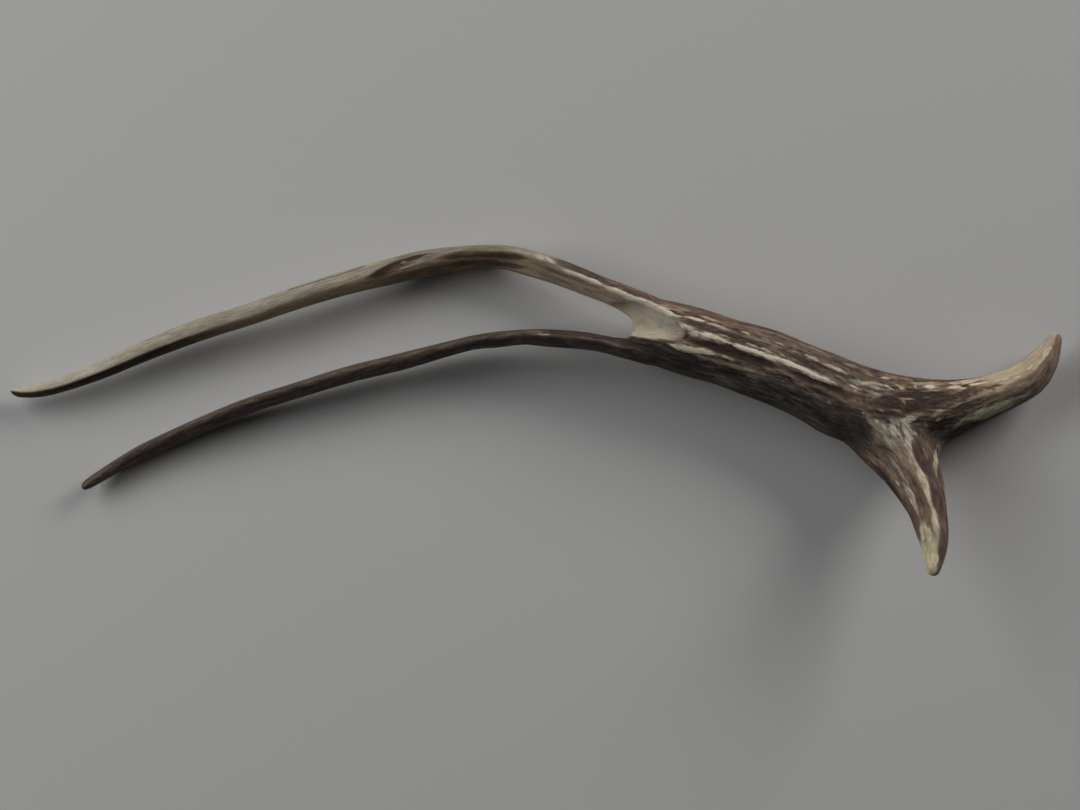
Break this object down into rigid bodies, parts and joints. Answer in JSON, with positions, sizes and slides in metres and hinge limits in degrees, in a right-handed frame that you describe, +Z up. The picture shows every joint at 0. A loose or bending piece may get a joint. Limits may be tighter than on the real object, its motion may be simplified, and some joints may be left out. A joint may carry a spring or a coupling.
{
  "type": "antler hair fork",
  "caption": "Two-pronged hair fork carved from a forked deer antler, with a fluted beam, a side tine and a raised tine at the head.",
  "frame": {"origin": "centre of the box around the fork, on the surface that it lies on", "axes": "+X along the length, from the prong tips to the head; +Y across, towards the long prong; +Z up from the surface that it lies on"},
  "size_m": [0.179, 0.0556, 0.0198],
  "materials": {
    "antler": "carved and hand-polished antler, satin, with pale ridges and dark furrows"
  },
  "bodies": {
    "root": {"antler_fork": "antler"}
  },
  "joints": []
}
